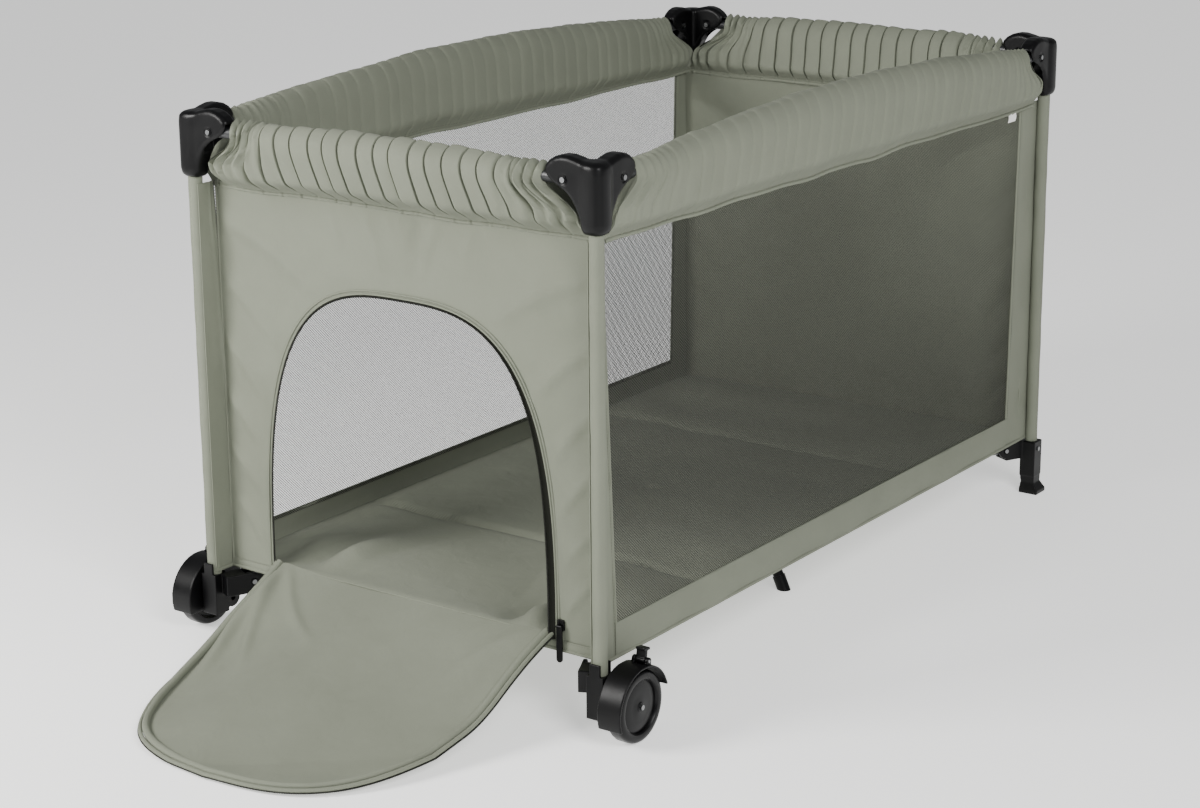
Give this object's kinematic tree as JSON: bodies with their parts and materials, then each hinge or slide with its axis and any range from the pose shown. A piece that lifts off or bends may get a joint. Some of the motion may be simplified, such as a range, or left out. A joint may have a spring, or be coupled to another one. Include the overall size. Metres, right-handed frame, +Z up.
{
  "type": "folding playpen",
  "caption": "Folding travel playpen: padded hinged top rails on steel posts, mesh sides, zip door that opens to the floor, two wheels at one end.",
  "frame": {"origin": "centre of the bounding box's base, on the floor, with the door flap open", "axes": "+X along the length, away from the door end; +Y across; +Z up"},
  "size_m": [1.5956, 0.766, 0.761],
  "materials": {
    "sage_fabric": "woven polyester, matt",
    "wall_fabric": "woven polyester and mesh, matt",
    "pad_fabric": "woven polyester over foam",
    "black_plastic": "moulded, satin",
    "wheel_plastic": "moulded, fine grain",
    "tube_steel": "powder coated, black",
    "rivet_steel": "zinc plated"
  },
  "bodies": {
    "front_left_corner": {"front_left_post": "tube_steel", "front_left_corner_cap": "black_plastic", "front_wheel_bracket": "black_plastic", "front_left_fasteners": "rivet_steel", "front_left_walls": "wall_fabric", "zip_slider": "black_plastic"},
    "back_left_corner": {"back_left_post": "tube_steel", "back_left_corner_cap": "black_plastic", "back_wheel_bracket": "black_plastic", "back_left_fasteners": "rivet_steel", "back_left_walls": "wall_fabric"},
    "front_right_corner": {"front_right_post": "tube_steel", "front_right_corner_cap": "black_plastic", "front_foot": "black_plastic", "front_right_fasteners": "rivet_steel", "front_right_walls": "wall_fabric"},
    "back_right_corner": {"back_right_post": "tube_steel", "back_right_corner_cap": "black_plastic", "back_foot": "black_plastic", "back_right_fasteners": "rivet_steel", "back_right_walls": "wall_fabric"},
    "hub": {"base_hub": "black_plastic"},
    "front_left_base_arm": {"front_left_arm": "tube_steel"},
    "back_left_base_arm": {"back_left_arm": "tube_steel"},
    "front_right_base_arm": {"front_right_arm": "tube_steel"},
    "back_right_base_arm": {"back_right_arm": "tube_steel"},
    "front_rail_left_half": {"front_rail_left": "tube_steel", "front_cover_left": "sage_fabric"},
    "front_rail_right_half": {"front_rail_right": "tube_steel", "front_cover_right": "sage_fabric"},
    "back_rail_left_half": {"back_rail_left": "tube_steel", "back_cover_left": "sage_fabric"},
    "back_rail_right_half": {"back_rail_right": "tube_steel", "back_cover_right": "sage_fabric"},
    "door_rail_front_half": {"door_rail_front": "tube_steel", "door_cover_front": "sage_fabric"},
    "door_rail_back_half": {"door_rail_back": "tube_steel", "door_cover_back": "sage_fabric"},
    "far_rail_front_half": {"far_rail_front": "tube_steel", "far_cover_front": "sage_fabric"},
    "far_rail_back_half": {"far_rail_back": "tube_steel", "far_cover_back": "sage_fabric"},
    "front_rail_lock": {"front_lock": "black_plastic"},
    "front_button": {"front_lock_button": "black_plastic"},
    "back_rail_lock": {"back_lock": "black_plastic"},
    "back_button": {"back_lock_button": "black_plastic"},
    "door_rail_lock": {"door_lock": "black_plastic"},
    "door_button": {"door_lock_button": "black_plastic"},
    "far_rail_lock": {"far_lock": "black_plastic"},
    "far_button": {"far_lock_button": "black_plastic"},
    "front_leg": {"front_centre_leg": "tube_steel"},
    "front_wheel_body": {"front_wheel": "wheel_plastic"},
    "front_brake": {"front_brake_lever": "black_plastic"},
    "back_leg": {"back_centre_leg": "tube_steel"},
    "back_wheel_body": {"back_wheel": "wheel_plastic"},
    "back_brake": {"back_brake_lever": "black_plastic"},
    "mattress_pad": {"mattress": "pad_fabric"},
    "flap": {"door_flap": "sage_fabric"},
    "zip_tab": {"zip_pull": "black_plastic"}
  },
  "joints": [
    {"name": "fold", "type": "hinge", "parent": "front_left_corner", "child": "front_left_base_arm", "pos_m": [-0.39218, -0.295, 0.075], "axis": [0.4404, -0.8978, 0], "range_deg": [0, 85], "deforming": ["front_left_walls", "back_left_walls", "front_right_walls", "back_right_walls", "front_cover_left", "front_cover_right", "back_cover_left", "back_cover_right", "door_cover_front", "door_cover_back", "far_cover_front", "far_cover_back", "mattress", "door_flap"]},
    {"name": "hub_level", "type": "hinge", "parent": "front_left_base_arm", "child": "hub", "pos_m": [0.13782, -0.035, 0.075], "axis": [-0.4404, 0.8978, 0], "range_deg": [0, 85]},
    {"name": "back_left_arm_fold", "type": "hinge", "parent": "hub", "child": "back_left_base_arm", "pos_m": [0.13782, 0.035, 0.075], "axis": [-0.4404, -0.8978, 0], "range_deg": [0, 85]},
    {"name": "back_left_post_level", "type": "hinge", "parent": "back_left_base_arm", "child": "back_left_corner", "pos_m": [-0.39218, 0.295, 0.075], "axis": [0.4404, 0.8978, 0], "range_deg": [0, 85]},
    {"name": "front_right_arm_fold", "type": "hinge", "parent": "hub", "child": "front_right_base_arm", "pos_m": [0.20782, -0.035, 0.075], "axis": [0.4404, 0.8978, 0], "range_deg": [0, 85]},
    {"name": "front_right_post_level", "type": "hinge", "parent": "front_right_base_arm", "child": "front_right_corner", "pos_m": [0.73782, -0.295, 0.075], "axis": [-0.4404, -0.8978, 0], "range_deg": [0, 85]},
    {"name": "back_right_arm_fold", "type": "hinge", "parent": "hub", "child": "back_right_base_arm", "pos_m": [0.20782, 0.035, 0.075], "axis": [-0.4404, 0.8978, 0], "range_deg": [0, 85]},
    {"name": "back_right_post_level", "type": "hinge", "parent": "back_right_base_arm", "child": "back_right_corner", "pos_m": [0.73782, 0.295, 0.075], "axis": [0.4404, -0.8978, 0], "range_deg": [0, 85]},
    {"name": "front_rail_left_fold", "type": "hinge", "parent": "front_left_corner", "child": "front_rail_left_half", "pos_m": [-0.38718, -0.33, 0.715], "axis": [0, 1, 0], "range_deg": [0, 85]},
    {"name": "front_rail_right_fold", "type": "hinge", "parent": "front_right_corner", "child": "front_rail_right_half", "pos_m": [0.73282, -0.33, 0.715], "axis": [0, -1, 0], "range_deg": [0, 85]},
    {"name": "back_rail_left_fold", "type": "hinge", "parent": "back_left_corner", "child": "back_rail_left_half", "pos_m": [-0.38718, 0.33, 0.715], "axis": [0, 1, 0], "range_deg": [0, 85]},
    {"name": "back_rail_right_fold", "type": "hinge", "parent": "back_right_corner", "child": "back_rail_right_half", "pos_m": [0.73282, 0.33, 0.715], "axis": [0, -1, 0], "range_deg": [0, 85]},
    {"name": "door_rail_front_fold", "type": "hinge", "parent": "front_left_corner", "child": "door_rail_front_half", "pos_m": [-0.42718, -0.29, 0.715], "axis": [-1, 0, 0], "range_deg": [0, 85]},
    {"name": "door_rail_back_fold", "type": "hinge", "parent": "back_left_corner", "child": "door_rail_back_half", "pos_m": [-0.42718, 0.29, 0.715], "axis": [1, 0, 0], "range_deg": [0, 85]},
    {"name": "far_rail_front_fold", "type": "hinge", "parent": "front_right_corner", "child": "far_rail_front_half", "pos_m": [0.77282, -0.29, 0.715], "axis": [-1, 0, 0], "range_deg": [0, 85]},
    {"name": "far_rail_back_fold", "type": "hinge", "parent": "back_right_corner", "child": "far_rail_back_half", "pos_m": [0.77282, 0.29, 0.715], "axis": [1, 0, 0], "range_deg": [0, 85]},
    {"name": "front_lock_level", "type": "hinge", "parent": "front_rail_left_half", "child": "front_rail_lock", "pos_m": [0.14282, -0.33, 0.715], "axis": [0, -1, 0], "range_deg": [0, 85]},
    {"name": "front_lock_press", "type": "slide", "parent": "front_rail_lock", "child": "front_button", "axis": [0, 0, 1], "range_m": [0, 0.005], "stiffness_N_per_m": 400, "springref_m": -0.002},
    {"name": "back_lock_level", "type": "hinge", "parent": "back_rail_left_half", "child": "back_rail_lock", "pos_m": [0.14282, 0.33, 0.715], "axis": [0, -1, 0], "range_deg": [0, 85]},
    {"name": "back_lock_press", "type": "slide", "parent": "back_rail_lock", "child": "back_button", "axis": [0, 0, 1], "range_m": [0, 0.005], "stiffness_N_per_m": 400, "springref_m": -0.002},
    {"name": "door_lock_level", "type": "hinge", "parent": "door_rail_front_half", "child": "door_rail_lock", "pos_m": [-0.42718, -0.03, 0.715], "axis": [1, 0, 0], "range_deg": [0, 85]},
    {"name": "door_lock_press", "type": "slide", "parent": "door_rail_lock", "child": "door_button", "axis": [0, 0, 1], "range_m": [0, 0.005], "stiffness_N_per_m": 400, "springref_m": -0.002},
    {"name": "far_lock_level", "type": "hinge", "parent": "far_rail_front_half", "child": "far_rail_lock", "pos_m": [0.77282, -0.03, 0.715], "axis": [1, 0, 0], "range_deg": [0, 85]},
    {"name": "far_lock_press", "type": "slide", "parent": "far_rail_lock", "child": "far_button", "axis": [0, 0, 1], "range_m": [0, 0.005], "stiffness_N_per_m": 400, "springref_m": -0.002},
    {"name": "front_leg_fold", "type": "hinge", "parent": "hub", "child": "front_leg", "pos_m": [0.16232, -0.05, 0.075], "axis": [1, 0, 0], "range_deg": [0, 85]},
    {"name": "front_wheel_spin", "type": "hinge", "parent": "front_left_corner", "child": "front_wheel_body", "pos_m": [-0.40618, -0.367, 0.0475], "axis": [0, 1, 0], "continuous": true},
    {"name": "front_brake_press", "type": "hinge", "parent": "front_left_corner", "child": "front_brake", "pos_m": [-0.39018, -0.367, 0.1036], "axis": [0, 1, 0], "range_deg": [0, 22]},
    {"name": "back_leg_fold", "type": "hinge", "parent": "hub", "child": "back_leg", "pos_m": [0.18332, 0.05, 0.075], "axis": [-1, 0, 0], "range_deg": [0, 85]},
    {"name": "back_wheel_spin", "type": "hinge", "parent": "back_left_corner", "child": "back_wheel_body", "pos_m": [-0.40618, 0.367, 0.0475], "axis": [0, 1, 0], "continuous": true},
    {"name": "back_brake_press", "type": "hinge", "parent": "back_left_corner", "child": "back_brake", "pos_m": [-0.39018, 0.367, 0.1036], "axis": [0, 1, 0], "range_deg": [0, 22]},
    {"name": "mattress_lift", "type": "slide", "parent": "hub", "child": "mattress_pad", "axis": [0, 0, 1], "range_m": [0, 0.72]},
    {"name": "flap_close", "type": "hinge", "parent": "front_left_corner", "child": "flap", "pos_m": [-0.39918, 0, 0.107], "axis": [0, 1, 0], "range_deg": [0, 105.05]},
    {"name": "zip_pull_swing", "type": "hinge", "parent": "front_left_corner", "child": "zip_tab", "pos_m": [-0.40558, -0.251, 0.127], "axis": [0, 1, 0], "range_deg": [0, 80]}
  ],
  "couplings": [
    {"joint": "hub_level", "follows": "fold", "ratio": 1},
    {"joint": "back_left_arm_fold", "follows": "fold", "ratio": 1},
    {"joint": "back_left_post_level", "follows": "fold", "ratio": 1},
    {"joint": "front_right_arm_fold", "follows": "fold", "ratio": 1},
    {"joint": "front_right_post_level", "follows": "fold", "ratio": 1},
    {"joint": "back_right_arm_fold", "follows": "fold", "ratio": 1},
    {"joint": "back_right_post_level", "follows": "fold", "ratio": 1},
    {"joint": "front_rail_left_fold", "follows": "fold", "ratio": 1},
    {"joint": "front_rail_right_fold", "follows": "fold", "ratio": 1},
    {"joint": "back_rail_left_fold", "follows": "fold", "ratio": 1},
    {"joint": "back_rail_right_fold", "follows": "fold", "ratio": 1},
    {"joint": "door_rail_front_fold", "follows": "fold", "ratio": 1},
    {"joint": "door_rail_back_fold", "follows": "fold", "ratio": 1},
    {"joint": "far_rail_front_fold", "follows": "fold", "ratio": 1},
    {"joint": "far_rail_back_fold", "follows": "fold", "ratio": 1},
    {"joint": "front_lock_level", "follows": "fold", "ratio": 1},
    {"joint": "back_lock_level", "follows": "fold", "ratio": 1},
    {"joint": "door_lock_level", "follows": "fold", "ratio": 1},
    {"joint": "far_lock_level", "follows": "fold", "ratio": 1},
    {"joint": "front_leg_fold", "follows": "fold", "ratio": 1},
    {"joint": "back_leg_fold", "follows": "fold", "ratio": 1}
  ]
}
